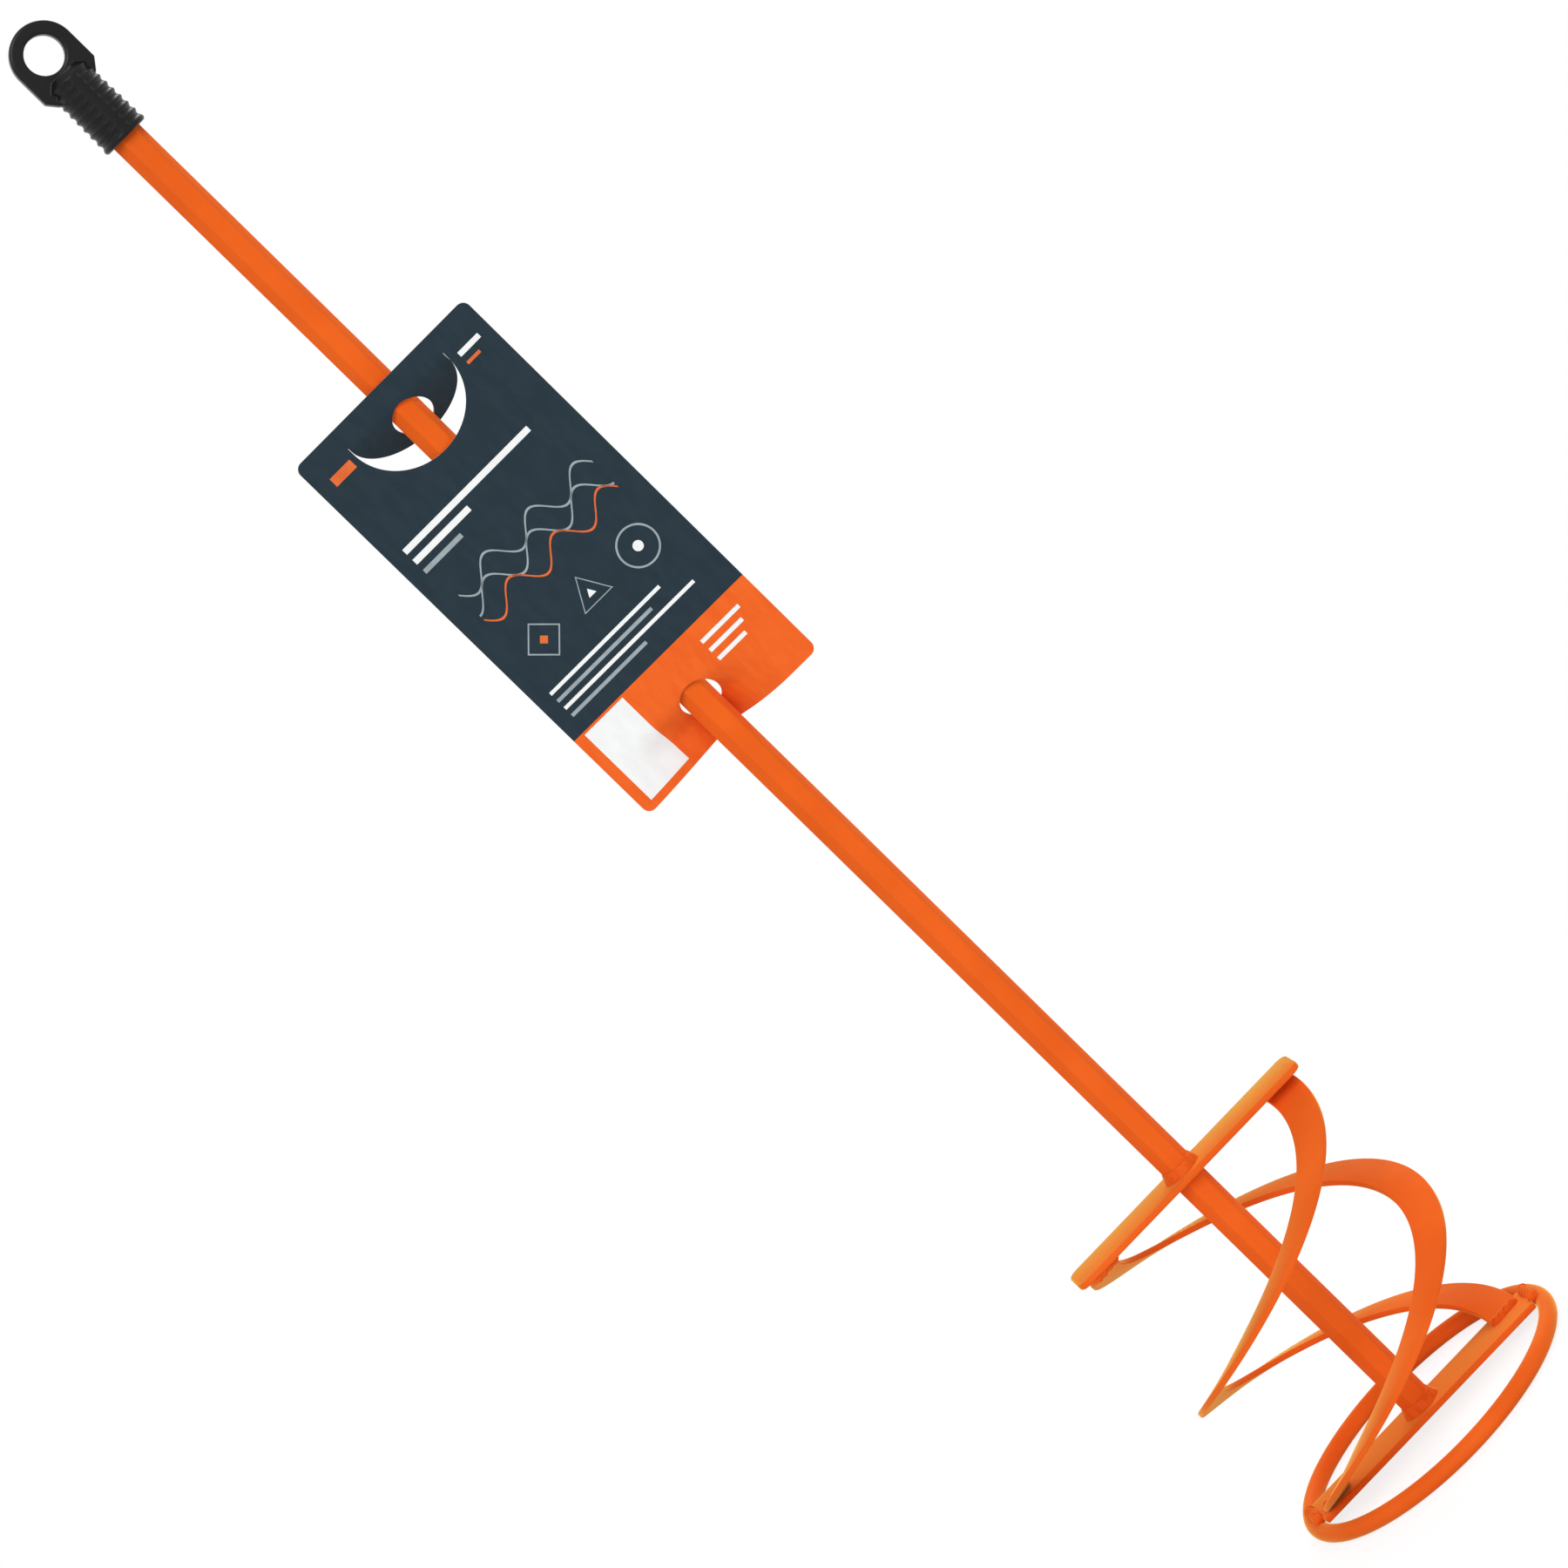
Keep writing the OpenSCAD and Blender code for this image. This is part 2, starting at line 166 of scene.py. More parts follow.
# Display card, measured from the middle of its bottom edge
CARD_WIDTH = 68 * MM
CARD_HEIGHT = card_high.z - card_low.z
CARD_THICKNESS = 0.5 * MM
CARD_CORNER = 2.5 * MM
CARD_TURN = math.radians(-9)
CARD_SHIFT = 0.5 * MM
CARD_FACE = 5.85 * MM
HOLE_HALF = 6.3 * MM
BAND_TOP = 30.2 * MM
ARC_STEPS = 12
ELLIPSE_STEPS = 72
SLIVER = 0.02 * MM

# The card's tab, which folds back so that its hole takes the shaft
FOLD_HEIGHT = CARD_HEIGHT - 8.3 * MM
FOLD_LENGTH = 3 * MM
FOLD_SLICES = 12
TAB_FOLD = math.radians(48)
TAB_LENGTH = 17.9 * MM
TAB_HALF = 19.2 * MM
TAB_SIDES = 0.5 * MM
TAB_CUT = 0.15 * MM
TAB_STEPS = 48
TAB_HOLE_DOWN = 7.3 * MM
TAB_HOLE_HALF = 7.7 * MM

# The card's lower hole, and its foot, which bows back to pass behind the shaft
LOW_HOLE_HEIGHT = 13 * MM
LOW_HOLE_HALF = 5.75 * MM
BOW_LEFT = 31 * MM
BOW_RIGHT = 24 * MM
BOW_FLAT = 4 * MM
BOW_LEFT_CURVE = 1.25
BOW_RIGHT_CURVE = 2
BOW_DEPTH = 11.2 * MM
BOW_TILT = 0.2
BOW_SLICE = 1.25 * MM

# Print on the card, measured as the card is
INK = 0.05 * MM
PRINT_LEFT = -29 * MM
CORNER_LEFT = 22 * MM
WAVE_HALF = 27 * MM
WAVE_LENGTH = 18 * MM
WAVE_RISE = 3.5 * MM
WAVE_STROKE = 0.7 * MM
WAVE_SHIFT = 4.5 * MM
WAVE_STEPS = 96
SHAPE_SIDES = (4, 3, 48)
SHAPE_HEIGHT = 57 * MM
SHAPE_SPACING = 19 * MM
SHAPE_RADIUS = 6.5 * MM
SHAPE_STROKE = 0.6 * MM
SHAPE_DOT = 1.6 * MM
LINE_WIDTHS = (44 * MM, 38 * MM, 52 * MM, 30 * MM)
LINE_FIRST = 44 * MM
LINE_PITCH = 2.9 * MM
LINE_STROKE = 1.1 * MM
PANEL_LEFT = -30.5 * MM
PANEL_BOTTOM = 2.6 * MM
PANEL_WIDTH = 15.3 * MM
PANEL_HEIGHT = BAND_TOP - 3.4 * MM
BAND_LINE_WIDTHS = (15 * MM, 13 * MM, 11 * MM)
BAND_LINE_LEFT = 12 * MM
BAND_LINE_FIRST = 24 * MM
BAND_LINE_PITCH = 3.4 * MM
BAND_LINE_STROKE = 1.3 * MM

# Paint: a thin clear coat, and a powdery sheen that brightens it where it is seen edge on
PAINT_LAYERS = {
    "Specular IOR Level": 0,
    "Coat Weight": 0.03,
    "Coat Roughness": 0.25,
    "Sheen Weight": 1,
    "Sheen Roughness": 0.35,
    "Sheen Tint": (1, 0.64, 0.16, 1),
}

# The same paint in copies whose sheen tint is painted light: a redder painted sheen on the upright shaft
# and a yellower one on the level crossbars, to follow how the light falls on each
SHAFT_LIT_LAYERS = {**PAINT_LAYERS, "Sheen Tint": (1, 0.25, 0.08, 1)}
BAR_LIT_LAYERS = {**PAINT_LAYERS, "Sheen Tint": (1, 0.95, 0.2, 1)}

# Roughness of varnished print and of bare card, and how far it spreads upwards
VARNISHED = 0.42
BARE_CARD = 0.7
ROUGH_SPREAD = 0.12

# Studio
CAMERA_DISTANCE = 1532 * MM
CAMERA_HEIGHT = 506.5 * MM
CAMERA_ASIDE = -0.7 * MM
CAMERA_TURN = math.radians(-2)
CAMERA_PITCH = math.radians(8.74)
CAMERA_ROLL = math.radians(-45.605)
LENS = 124
SENSOR = 36
WHITE = (1, 1, 1, 1)
WORLD_LIGHT = 0.5
FLOOR_HALF = 3000 * MM
FLOOR_TONE = 0.85
FLOOR_GLOW = 0.82
SHADOW_TONE = 0.22
SHADOW_NEAR = 100 * MM
SHADOW_FAR = 450 * MM
SUN_SPREAD = math.radians(35)
KEY_FROM = (-0.1, -1, 0.7)
KEY_STRENGTH = 1.45
REAR_FROM = (0.6, 1, 0.9)
REAR_STRENGTH = 1.2


def srgb(red, green, blue):
    """A colour as it shows on screen, turned into the linear colour that a shader takes."""
    shares = [channel / 255 for channel in (red, green, blue)]
    linear = [c / 12.92 if c <= 0.04045 else ((c + 0.055) / 1.055) ** 2.4 for c in shares]
    return (*linear, 1)


# Materials


def finish(name, settings):
    """A new material with constant shader settings. Returns the material, its nodes, links and shader."""
    made = bpy.data.materials.new(name)
    made.use_nodes = True
    shader = made.node_tree.nodes["Principled BSDF"]
    for socket, value in settings.items():
        shader.inputs[socket].default_value = value
    return made, made.node_tree.nodes, made.node_tree.links, shader


def grain(nodes, links, size, detail=3.0, stretch=(1, 1, 1)):
    """Noise with features of about the given size in metres, fixed to the piece."""
    place = nodes.new("ShaderNodeTexCoord")
    turn = nodes.new("ShaderNodeMapping")
    turn.inputs["Scale"].default_value = stretch
    noise = nodes.new("ShaderNodeTexNoise")
    noise.inputs["Scale"].default_value = 1 / size
    noise.inputs["Detail"].default_value = detail
    links.new(place.outputs["Object"], turn.inputs["Vector"])
    links.new(turn.outputs["Vector"], noise.inputs["Vector"])
    return noise.outputs["Fac"]


def tint(nodes, links, shader, amount, dark, light, low=0.35, high=0.65):
    """Colours the shader from dark to light as the amount rises."""
    ramp = nodes.new("ShaderNodeValToRGB")
    ramp.color_ramp.elements[0].position = low
    ramp.color_ramp.elements[0].color = dark
    ramp.color_ramp.elements[1].position = high
    ramp.color_ramp.elements[1].color = light
    links.new(amount, ramp.inputs["Fac"])
    links.new(ramp.outputs["Color"], shader.inputs["Base Color"])


def roughen(nodes, links, shader, amount, low, high):
    """Spreads the roughness between two values as the amount rises."""
    spread = nodes.new("ShaderNodeMapRange")
    spread.inputs["To Min"].default_value = low
    spread.inputs["To Max"].default_value = high
    links.new(amount, spread.inputs["Value"])
    links.new(spread.outputs["Result"], shader.inputs["Roughness"])


def emboss(nodes, links, shader, amount, depth, strength):
    """Raises the surface by the given depth in metres as the amount rises."""
    bump = nodes.new("ShaderNodeBump")
    bump.inputs["Distance"].default_value = depth
    bump.inputs["Strength"].default_value = strength
    links.new(amount, bump.inputs["Height"])
    links.new(bump.outputs["Normal"], shader.inputs["Normal"])


def orange_paint(name, layers):
    """Semi-gloss sprayed enamel, with a slight orange peel and thin cloudy patches."""
    made, nodes, links, shader = finish(name, layers)
    tint(nodes, links, shader, grain(nodes, links, 25 * MM), srgb(232, 96, 30), srgb(240, 103, 34))
    roughen(nodes, links, shader, grain(nodes, links, 6 * MM), 0.42, 0.5)
    emboss(nodes, links, shader, grain(nodes, links, 5 * MM, 1), 0.06 * MM, 0.1)
    return made


def painted_weld():
    """The same enamel over rough weld metal, with specks of spatter."""
    made, nodes, links, shader = finish("painted_weld", PAINT_LAYERS)
    tint(nodes, links, shader, grain(nodes, links, 2.5 * MM), srgb(222, 86, 26), srgb(238, 100, 32))
    roughen(nodes, links, shader, grain(nodes, links, 1.5 * MM), 0.42, 0.58)
    emboss(nodes, links, shader, grain(nodes, links, 1.2 * MM, 2), 0.15 * MM, 0.25)
    return made


def black_rubber():
    """Moulded soft plastic with a fine matt grain."""
    made, nodes, links, shader = finish("black_rubber", {"Specular IOR Level": 0.2})
    tint(nodes, links, shader, grain(nodes, links, 6 * MM), srgb(14, 14, 15), srgb(19, 19, 20))
    roughen(nodes, links, shader, grain(nodes, links, 2 * MM), 0.28, 0.38)
    emboss(nodes, links, shader, grain(nodes, links, 0.35 * MM, 2), 0.05 * MM, 0.15)
    return made


def card_stock(name, dark, light, rough):
    """Printed card with a faint fibre grain under its varnish."""
    made, nodes, links, shader = finish(name, {"Specular IOR Level": 0.06})
    tint(nodes, links, shader, grain(nodes, links, 3 * MM, 4, (1, 1, 0.4)), dark, light)
    roughen(nodes, links, shader, grain(nodes, links, 8 * MM), rough, rough + ROUGH_SPREAD)
    emboss(nodes, links, shader, grain(nodes, links, 0.5 * MM, 3), 0.02 * MM, 0.2)
    return made


paint = orange_paint("orange_paint", PAINT_LAYERS)
# Copies of the one paint whose different sheen tints are painted light on the shaft and the crossbars
shaft_lit_paint = orange_paint("shaft_lit_paint", SHAFT_LIT_LAYERS)
bar_lit_paint = orange_paint("bar_lit_paint", BAR_LIT_LAYERS)
weld_paint = painted_weld()
rubber = black_rubber()
slate_print = card_stock("slate_print", srgb(39, 53, 62), srgb(43, 57, 66), VARNISHED)
orange_print = card_stock("orange_print", srgb(236, 98, 34), srgb(242, 106, 40), VARNISHED)
card_back = card_stock("card_back", srgb(213, 210, 203), srgb(220, 217, 210), BARE_CARD)
card_edge = card_stock("card_edge", srgb(196, 198, 198), srgb(214, 216, 216), BARE_CARD)
white_ink = card_stock("white_ink", srgb(241, 242, 242), srgb(246, 247, 247), VARNISHED)
grey_ink = card_stock("grey_ink", srgb(150, 162, 168), srgb(164, 175, 180), VARNISHED)
orange_ink = card_stock("orange_ink", srgb(222, 104, 52), srgb(232, 114, 60), VARNISHED)


# Shared ways of making a piece


def in_scene(name, data):
    """A new object in the scene for a mesh, a light or a camera."""
    made = bpy.data.objects.new(name, data)
    bpy.context.scene.collection.objects.link(made)
    return made


def settle(mesh, name, body, materials, stands_for=(), sharp=EDGE_SHARP):
    """Makes a finished mesh into a piece that rides on a body and stands for its CAD nodes."""
    mesh.name = name
    for look in materials:
        mesh.materials.append(look)
    mesh.shade_smooth()
    mesh.set_sharp_from_angle(angle=math.radians(sharp))
    made = in_scene(name, mesh)
    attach(made, body)
    if stands_for:
        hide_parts(*stands_for)


def plain_mesh(bm, name):
    """A mesh with the faces of a bmesh as they are. The bmesh is freed."""
    mesh = bpy.data.meshes.new(name)
    bm.to_mesh(mesh)
    bm.free()
    return mesh


def outward_mesh(bm, name):
    """A mesh with the faces of a closed bmesh turned outwards. The bmesh is freed."""
    bmesh.ops.recalc_face_normals(bm, faces=bm.faces)
    return plain_mesh(bm, name)


def steel_piece(bm, name, node, look, sharp=EDGE_SHARP):
    """A painted piece of the steelwork, which stands for one node."""
    settle(outward_mesh(bm, name), name, "mixer", [look], [node], sharp)


def weld_piece(bm, name, node):
    """A painted weld, which stands for one node."""
    settle(outward_mesh(bm, name), name, "mixer", [weld_paint], [node], WELD_SHARP)


def modified(mesh, kind, **settings):
    """A mesh with one modifier applied to it."""
    carrier = in_scene("carrier", mesh)
    change = carrier.modifiers.new(kind.lower(), kind)
    for key, value in settings.items():
        setattr(change, key, value)
    graph = bpy.context.evaluated_depsgraph_get()
    made = bpy.data.meshes.new_from_object(carrier.evaluated_get(graph))
    bpy.data.objects.remove(carrier)
    return made


def round_edges(bm, geom, width, steps, affect="EDGES"):
    """Rolls edges over, or the corners of a flat section."""
    bmesh.ops.bevel(bm, geom=geom, offset=width, offset_type="OFFSET", segments=steps,
                    profile=ROUND_PROFILE, affect=affect, clamp_overlap=True, material=-1)


def sharp_edges(bm, least=SQUARE_LEAST):
    """The edges whose two faces meet at more than the given angle, in degrees."""
    bm.normal_update()
    limit = math.radians(least)
    return [e for e in bm.edges if len(e.link_faces) == 2 and e.calc_face_angle(0) > limit]


def hexagon(bm, flats, turn, filled):
    """Draws a hexagon by its width across flats, turned from a corner on +X. Returns its corners."""
    corner = flats / math.sqrt(3)
    verts = bmesh.ops.create_circle(bm, cap_ends=filled, segments=HEX_SIDES, radius=corner)["verts"]
    bmesh.ops.transform(bm, matrix=Matrix.Rotation(turn + HEX_TURN, 4, "Z"), verts=verts)
    return verts


def raise_face(bm, height):
    """Gives every face of a flat bmesh a thickness along +Z."""
    grown = bmesh.ops.extrude_face_region(bm, geom=bm.faces[:])["geom"]
    tops = [g for g in grown if isinstance(g, bmesh.types.BMVert)]
    bmesh.ops.translate(bm, vec=Z_AXIS * height, verts=tops)


def cut(bm, place, outwards):
    """Cuts away what lies beyond a plane."""
    everything = bm.verts[:] + bm.edges[:] + bm.faces[:]
    bmesh.ops.bisect_plane(bm, geom=everything, plane_co=place, plane_no=outwards, clear_outer=True)


def trim(bm, place, outwards):
    """Cuts away what lies beyond a plane, and closes the cut."""
    cut(bm, place, outwards)
    rim = [e for e in bm.edges if e.is_boundary]
    bmesh.ops.holes_fill(bm, edges=rim, sides=0)


def lathe(bm, steps):
    """Spins a section that lies in the XZ plane once around the Z axis."""
    section = bm.verts[:] + bm.edges[:]
    bmesh.ops.spin(bm, geom=section, cent=(0, 0, 0), axis=Z_AXIS, angle=FULL_TURN, steps=steps,
                   use_merge=True)


def extrude_loop(bm, loop):
    """Extrudes a closed loop of edges in place. Returns the verts and the edges of its new end."""
    grown = bmesh.ops.extrude_edge_only(bm, edges=loop)["geom"]
    verts = {g for g in grown if isinstance(g, bmesh.types.BMVert)}
    edges = [g for g in grown if isinstance(g, bmesh.types.BMEdge) and set(g.verts) <= verts]
    return list(verts), edges


def sweep(bm, loop, placements):
    """Carries a closed section through its placements, and closes the far end."""
    for before, after in zip(placements, placements[1:]):
        verts, loop = extrude_loop(bm, loop)
        bmesh.ops.transform(bm, matrix=after @ before.inverted(), verts=verts)
    bmesh.ops.edgeloop_fill(bm, edges=loop)


def fade(share):
    """Falls smoothly from 1 to 0 as the share goes from 0 to 1."""
    return 0.5 + 0.5 * math.cos(math.pi * max(0, min(1, share)))


# Steelwork


def shaft_bar():
    """The hexagonal bar, with rolled corners and a chamfered tip."""
    bm = bmesh.new()
    hexagon(bm, SHAFT_FLATS, SHAFT_TURN, True)
    raise_face(bm, shaft_high.z - shaft_low.z)
    top = [e for e in bm.edges if all(v.co.z > 0 for v in e.verts)]
    round_edges(bm, top, TIP_CHAMFER, TIP_STEPS)
    corners = [e for e in sharp_edges(bm, HEX_LEAST) if e.calc_length() > LONG_EDGE]
    round_edges(bm, corners, SHAFT_CORNER, SHAFT_CORNER_STEPS)
    bmesh.ops.translate(bm, vec=Z_AXIS * shaft_low.z, verts=bm.verts)
    steel_piece(bm, "shaft_bar", "shaft", shaft_lit_paint)


def upper_bar():
    """The flat bar that the blades hang from."""
    size = upper_bar_high - upper_bar_low
    bm = bmesh.new()
    bmesh.ops.create_cube(bm, size=1)
    bmesh.ops.scale(bm, vec=size, verts=bm.verts)
    upright = [e for e in bm.edges if abs(e.verts[0].co.z - e.verts[1].co.z) > size.z / 2]
    round_edges(bm, upright, BAR_CORNER, BAR_CORNER_STEPS)
    round_edges(bm, sharp_edges(bm), BAR_EDGE, BAR_EDGE_STEPS)
    bmesh.ops.translate(bm, vec=(upper_bar_low + upper_bar_high) / 2, verts=bm.verts)
    steel_piece(bm, "upper_bar", "upper_crossbar", bar_lit_paint)


def lower_bar():
    """The flat bar inside the ring, with its ends cut to the ring's curve."""
    bm = bmesh.new()
    bmesh.ops.create_circle(bm, cap_ends=True, segments=RING_STEPS, radius=lower_bar_high.x)
    for side in (-1, 1):
        cut(bm, Y_AXIS * side * lower_bar_high.y, Y_AXIS * side)
    raise_face(bm, lower_bar_high.z - lower_bar_low.z)
    round_edges(bm, sharp_edges(bm), BAR_EDGE, BAR_EDGE_STEPS)
    bmesh.ops.translate(bm, vec=Z_AXIS * lower_bar_low.z, verts=bm.verts)
    steel_piece(bm, "lower_bar", "lower_crossbar", bar_lit_paint)


def ring_rod():
    """The round rod bent into a ring."""
    bm = bmesh.new()
    bmesh.ops.create_circle(bm, segments=ROD_SIDES, radius=ROD_RADIUS)
    stand = Matrix.Translation((RING_RADIUS, 0, ROD_RADIUS)) @ Matrix.Rotation(QUARTER_TURN, 4, "X")
    bmesh.ops.transform(bm, matrix=stand, verts=bm.verts)
    lathe(bm, RING_STEPS)
    steel_piece(bm, "ring_rod", "bottom_ring", paint)


def blade_place(share, first, lift):
    """Where a blade's section lies, as the share goes from 0 at the top to 1 at the foot."""
    swell = math.sin(math.pi * share)
    height = upper_bar_low.z + (lower_bar_high.z - upper_bar_low.z) * share + lift * swell
    middle = BLADE_END_RADIUS + BLADE_BULGE * swell - BLADE_WIDTH / 2
    turn = Matrix.Rotation(first + BLADE_START - BLADE_WIND * share, 4, "Z")
    return turn @ Matrix.Translation((middle, 0, height)) @ Matrix.Rotation(BLADE_DROOP, 4, "Y")


def blade_strip(name, node, first, lift):
    """A flat strip that winds once around the shaft, trimmed flat against both crossbars."""
    places = [blade_place(i / BLADE_STEPS, first, lift) for i in range(BLADE_STEPS + 1)]
    bm = bmesh.new()
    bmesh.ops.create_grid(bm, x_segments=1, y_segments=1, size=0.5)
    bmesh.ops.scale(bm, vec=(BLADE_WIDTH, BLADE_THICKNESS, 1), verts=bm.verts)
    round_edges(bm, bm.verts[:], BLADE_EDGE, BLADE_EDGE_STEPS, "VERTICES")
    stand = Matrix.Rotation(QUARTER_TURN, 4, "X")
    bmesh.ops.transform(bm, matrix=places[0] @ stand, verts=bm.verts)
    sweep(bm, bm.edges[:], places)
    trim(bm, Z_AXIS * upper_bar_low.z, Z_AXIS)
    trim(bm, Z_AXIS * lower_bar_high.z, -Z_AXIS)
    steel_piece(bm, name, node, paint, BLADE_SHARP)


# Welds


def ripple(place, pitch):
    """The overlapping scales along a weld, from -0.5 in a valley to 0.5 on a crest."""
    return abs(math.sin(math.pi * place / pitch)) - 0.5


def hub_fillet(name, node, height):
    """The rippled fillet around the shaft, standing on a crossbar."""
    inside = SHAFT_RADIUS - BEAD_RADIUS / 2
    foot = SHAFT_RADIUS + HUB_WELD_LEG
    lip = SHAFT_RADIUS + HUB_WELD_LIP
    waist = (foot + lip) / 2
    bm = bmesh.new()
    profile = [(inside, 0), (foot, 0), (waist, HUB_WELD_HEIGHT / 2), (lip, HUB_WELD_HEIGHT),
               (inside, HUB_WELD_HEIGHT)]
    verts = [bm.verts.new((radius, 0, rise)) for radius, rise in profile]
    section = [bm.edges.new(pair) for pair in zip(verts, verts[1:] + verts[:1])]
    bmesh.ops.subdivide_edges(bm, edges=section[1:3], cuts=HUB_WELD_CUTS)
    lathe(bm, HUB_WELD_STEPS)
    for vert in bm.verts:
        radius = vert.co.xy.length
        if radius > inside + HUB_WELD_SKIN:
            angle = math.atan2(vert.co.y, vert.co.x)
            swell = ripple(angle, FULL_TURN / HUB_WELD_RIPPLES) + HUB_WELD_OVAL * math.sin(2 * angle)
            grown = 1 + HUB_WELD_RIPPLE * swell / radius
            vert.co.x *= grown
            vert.co.y *= grown
            if vert.co.z > 0:
                vert.co.z += HUB_WELD_RIPPLE * swell
    bmesh.ops.translate(bm, vec=Z_AXIS * height, verts=bm.verts)
    weld_piece(bm, name, node)


def bead(bm, half_length, radius, base):
    """A rippled weld bead with round ends, along the X axis of its base."""
    placements = []
    for i in range(BEAD_STEPS + 1):
        share = 2 * i / BEAD_STEPS - 1
        along = share * half_length
        past = max(0, abs(along) - half_length + radius) / radius
        rounding = math.sqrt(max(BEAD_TIP, 1 - past ** 2))
        swell = rounding * (1 + RIPPLE_SHARE * ripple(along, RIPPLE_PITCH))
        wander = BEAD_WANDER * math.sin(along / radius)
        placements.append(base @ Matrix.Translation((along, wander, 0)) @ Matrix.Scale(swell, 4))
    bmesh.ops.create_circle(bm, cap_ends=True, segments=BEAD_SIDES, radius=radius)
    stand = Matrix.Rotation(QUARTER_TURN, 4, "Y")
    bmesh.ops.transform(bm, matrix=placements[0] @ stand, verts=bm.verts)
    sweep(bm, bm.edges[:], placements)


def blade_bead(name, node, share, first, height, outwards):
    """The bead in the corner between a blade's cut end and a crossbar, flat on the bar."""
    angle = first + BLADE_START - BLADE_WIND * share
    middle = BLADE_END_RADIUS - BLADE_WIDTH / 2
    base = Matrix.Rotation(angle, 4, "Z") @ Matrix.Translation((middle, 0, height))
    bm = bmesh.new()
    bead(bm, BLADE_WIDTH / 2, BEAD_RADIUS, base)
    trim(bm, Z_AXIS * height, outwards)
    weld_piece(bm, name, node)


def ring_bead(name, node, angle):
    """The bead that joins one end of the lower crossbar to the ring."""
    out = lower_bar_high.x + RING_BEAD_OUT
    across = Matrix.Translation((out, 0, lower_bar_high.z)) @ Matrix.Rotation(QUARTER_TURN, 4, "Z")
    bm = bmesh.new()
    bead(bm, lower_bar_high.y - RING_BEAD_RADIUS, RING_BEAD_RADIUS, Matrix.Rotation(angle, 4, "Z") @ across)
    weld_piece(bm, name, node)


def ring_seam():
    """The butt weld that closes the ring's rod, at the back."""
    inset = RING_RADIUS - SEAM_PROUD
    base = Matrix.Translation((0, inset, ROD_RADIUS + SEAM_PROUD))
    bm = bmesh.new()
    bead(bm, SEAM_LENGTH / 2, ROD_RADIUS, base)
    weld_piece(bm, "ring_seam", "ring_seam_weld")


shaft_bar()
upper_bar()
lower_bar()
ring_rod()
blade_strip("front_blade_strip", "front_blade", 0, FRONT_SAG)
blade_strip("rear_blade_strip", "rear_blade", math.pi, REAR_RISE)
hub_fillet("upper_hub_fillet", "upper_hub_weld", upper_bar_high.z)
hub_fillet("lower_hub_fillet", "lower_hub_weld", lower_bar_high.z)
for side, first in (("front", 0), ("rear", math.pi)):
    blade_bead(f"{side}_blade_top_bead", f"{side}_blade_top_weld", 0, first, upper_bar_low.z, Z_AXIS)
    blade_bead(f"{side}_blade_foot_bead", f"{side}_blade_foot_weld", 1, first, lower_bar_high.z, -Z_AXIS)
ring_bead("right_ring_bead", "right_ring_weld", 0)
ring_bead("left_ring_bead", "left_ring_weld", math.pi)
ring_seam()


# Hanging cap


def sleeve_profile(ribbed_top):
    """The outside of the sleeve as radius and height, from its mouth up, with fine rows for the ribs."""
    rows = RIB_COUNT * SLEEVE_ROWS
    heights = [LIP_HEIGHT / 2]
    heights += [LIP_HEIGHT + (ribbed_top - LIP_HEIGHT) * i / rows for i in range(rows + 1)]
    profile = [(SLEEVE_MOUTH - LIP_ROUND, 0)]
    profile += [(SLEEVE_MOUTH + (SLEEVE_TOP - SLEEVE_MOUTH) * z / SLEEVE_LENGTH, z) for z in heights]
    profile += [(SLEEVE_TOP - SLEEVE_SLOPE, SLEEVE_LENGTH)]
    return profile


def cut_grooves(bm, ribbed_top):
    """Cuts the grooves between the ribs, which run out into a smooth strip down the front and back."""
    pitch = (ribbed_top - LIP_HEIGHT) / RIB_COUNT
    for vert in bm.verts:
        if LIP_HEIGHT < vert.co.z < ribbed_top:
            wave = 0.5 - 0.5 * math.cos(FULL_TURN * (vert.co.z - LIP_HEIGHT) / pitch)
            clear = 1 - fade((abs(vert.co.x) - SPINE_HALF) / SPINE_FADE)
            shrink = 1 - GROOVE_DEPTH * wave ** GROOVE_SHAPE * clear / vert.co.xy.length
            vert.co.x *= shrink
            vert.co.y *= shrink


def cut_socket(bm):
    """Closes the mouth of the sleeve around its hexagonal socket."""
    mouth = [e for e in bm.edges if e.is_boundary]
    corners = hexagon(bm, SOCKET_FLATS, 0, False)
    rim = list({e for v in corners for e in v.link_edges})
    bmesh.ops.triangle_fill(bm, use_beauty=True, edges=mouth + rim, normal=-Z_AXIS)
    ends, bottom = extrude_loop(bm, rim)
    bmesh.ops.translate(bm, vec=Z_AXIS * SOCKET_DEPTH, verts=ends)
    bmesh.ops.edgeloop_fill(bm, edges=bottom)


def sleeve(bm):
    """The ribbed grip, with a closed top and the socket in its mouth."""
    ribbed_top = SLEEVE_LENGTH - SLEEVE_SLOPE
    verts = [bm.verts.new((radius, 0, z)) for radius, z in sleeve_profile(ribbed_top)]
    for pair in zip(verts, verts[1:]):
        bm.edges.new(pair)
    lathe(bm, SLEEVE_SIDES)
    cut_grooves(bm, ribbed_top)
    top = [e for e in bm.edges if e.is_boundary and e.verts[0].co.z > ribbed_top]
    bmesh.ops.edgeloop_fill(bm, edges=top)
    cut_socket(bm)


